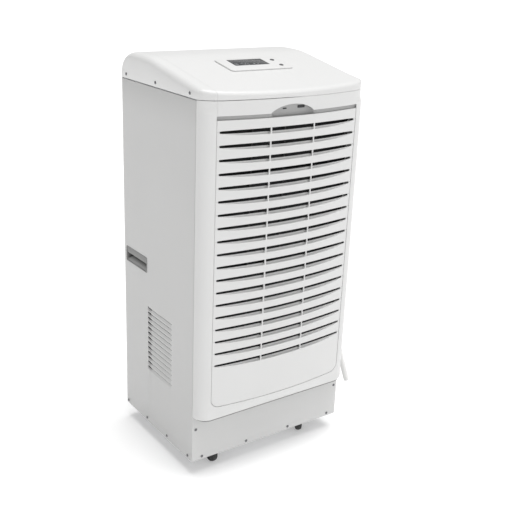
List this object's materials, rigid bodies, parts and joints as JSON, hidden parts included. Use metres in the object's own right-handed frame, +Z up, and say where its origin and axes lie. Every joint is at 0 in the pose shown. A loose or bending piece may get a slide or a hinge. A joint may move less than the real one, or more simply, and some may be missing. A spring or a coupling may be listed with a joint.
{
  "type": "dehumidifier",
  "caption": "Tall commercial refrigerant dehumidifier on swivel casters: bowed louvred intake grille, sloped control lid, side handles and vents, rear outlet, drain hose.",
  "frame": {"origin": "on the floor under the middle of the machine, midway between its sides and between the nose of its front and its rear outlet grille", "axes": "+X to the machine's left-hand side as it faces forward, -Y out of the front grille, +Z up"},
  "size_m": [0.5546, 0.43, 1.052],
  "materials": {
    "white_painted_steel": "satin white powder coat",
    "white_moulding": "satin white moulded plastic",
    "grey_moulding": "matte mid-grey moulded plastic",
    "dark_moulding": "matte black moulded plastic",
    "display_lens": "glossy smoked lens",
    "filter_nylon": "dark woven nylon mesh",
    "galvanised_steel": "dull galvanised sheet",
    "bright_steel": "bright zinc-plated steel",
    "coil_fins": "thin aluminium fins",
    "copper_tube": "drawn copper",
    "black_painted_steel": "black enamel",
    "black_rubber": "matte black rubber",
    "circuit_board": "green laminate",
    "white_hose": "satin white flexible vinyl"
  },
  "bodies": {
    "cabinet": {"front_skirt": "white_painted_steel", "left_side_panel": "white_painted_steel", "right_side_panel": "white_painted_steel", "rear_panel": "white_painted_steel", "front_cover": "white_moulding", "top_lid": "white_moulding", "control_bezel": "white_moulding", "filter_guide": "white_moulding", "drain_elbow": "white_moulding", "grip_recess": "grey_moulding", "handle_left": "grey_moulding", "handle_right": "grey_moulding", "outlet_grille": "grey_moulding", "drip_tray": "dark_moulding", "display_window": "display_lens", "base_pan": "galvanised_steel", "top_frame": "galvanised_steel", "divider_shelf": "galvanised_steel", "blower_housing": "galvanised_steel", "motor_bracket": "galvanised_steel", "electrical_box": "galvanised_steel", "evaporator_coil": "coil_fins", "condenser_coil": "coil_fins", "run_capacitor": "coil_fins", "discharge_pipe": "copper_tube", "suction_pipe": "copper_tube", "liquid_pipe": "copper_tube", "capillary_tube": "copper_tube", "filter_drier": "copper_tube", "compressor": "black_painted_steel", "accumulator": "black_painted_steel", "fan_motor": "black_painted_steel", "caster_plate_front_left": "black_painted_steel", "caster_plate_front_right": "black_painted_steel", "caster_plate_rear_left": "black_painted_steel", "caster_plate_rear_right": "black_painted_steel", "compressor_mount": "black_rubber", "power_gland": "black_rubber", "control_board": "circuit_board", "drain_hose": "white_hose", "drain_tube": "white_hose"},
    "grille": {"grille_panel": "white_moulding"},
    "filter": {"filter_frame": "grey_moulding", "filter_mesh": "filter_nylon"},
    "blower": {"blower_wheel": "dark_moulding", "motor_shaft": "bright_steel"},
    "upper_button": {"button_upper": "grey_moulding"},
    "lower_button": {"button_lower": "grey_moulding"},
    "caster_front_left": {"caster_fork_front_left": "black_painted_steel", "caster_axle_front_left": "bright_steel"},
    "wheel_front_left": {"caster_wheel_front_left": "black_rubber"},
    "caster_front_right": {"caster_fork_front_right": "black_painted_steel", "caster_axle_front_right": "bright_steel"},
    "wheel_front_right": {"caster_wheel_front_right": "black_rubber"},
    "caster_rear_left": {"caster_fork_rear_left": "black_painted_steel", "caster_axle_rear_left": "bright_steel"},
    "wheel_rear_left": {"caster_wheel_rear_left": "black_rubber"},
    "caster_rear_right": {"caster_fork_rear_right": "black_painted_steel", "caster_axle_rear_right": "bright_steel"},
    "wheel_rear_right": {"caster_wheel_rear_right": "black_rubber"}
  },
  "joints": [
    {"name": "grille_tilt", "type": "hinge", "parent": "cabinet", "child": "grille", "pos_m": [0, -0.20937, 0.211], "axis": [1, 0, 0], "range_deg": [0, 55]},
    {"name": "filter_lift", "type": "slide", "parent": "cabinet", "child": "filter", "axis": [0, 0, 1], "range_m": [0, 0.012]},
    {"name": "blower_spin", "type": "hinge", "parent": "cabinet", "child": "blower", "pos_m": [0, 0.06, 0.7], "axis": [1, 0, 0], "continuous": true},
    {"name": "upper_button_press", "type": "slide", "parent": "cabinet", "child": "upper_button", "axis": [0, 0.1772, -0.9842], "range_m": [0, 0.001], "stiffness_N_per_m": 800, "springref_m": -0.001},
    {"name": "lower_button_press", "type": "slide", "parent": "cabinet", "child": "lower_button", "axis": [0, 0.1772, -0.9842], "range_m": [0, 0.001], "stiffness_N_per_m": 800, "springref_m": -0.001},
    {"name": "caster_swivel_front_left", "type": "hinge", "parent": "cabinet", "child": "caster_front_left", "pos_m": [-0.154, -0.097, 0.0667], "axis": [0, 0, 1], "continuous": true},
    {"name": "wheel_spin_front_left", "type": "hinge", "parent": "caster_front_left", "child": "wheel_front_left", "pos_m": [-0.15515, -0.11897, 0.025], "axis": [0.9986, -0.0523, 0], "continuous": true},
    {"name": "caster_swivel_front_right", "type": "hinge", "parent": "cabinet", "child": "caster_front_right", "pos_m": [0.154, -0.097, 0.0667], "axis": [0, 0, 1], "continuous": true},
    {"name": "wheel_spin_front_right", "type": "hinge", "parent": "caster_front_right", "child": "wheel_front_right", "pos_m": [0.143, -0.11605, 0.025], "axis": [0.866, -0.5, 0], "continuous": true},
    {"name": "caster_swivel_rear_left", "type": "hinge", "parent": "cabinet", "child": "caster_rear_left", "pos_m": [-0.154, 0.16, 0.0667], "axis": [0, 0, 1], "continuous": true},
    {"name": "wheel_spin_rear_left", "type": "hinge", "parent": "caster_rear_left", "child": "wheel_rear_left", "pos_m": [-0.1608, 0.13908, 0.025], "axis": [0.9511, -0.309, 0], "continuous": true},
    {"name": "caster_swivel_rear_right", "type": "hinge", "parent": "cabinet", "child": "caster_rear_right", "pos_m": [0.154, 0.16, 0.0667], "axis": [0, 0, 1], "continuous": true},
    {"name": "wheel_spin_rear_right", "type": "hinge", "parent": "caster_rear_right", "child": "wheel_rear_right", "pos_m": [0.14505, 0.1399, 0.025], "axis": [0.9135, -0.4067, 0], "continuous": true}
  ]
}
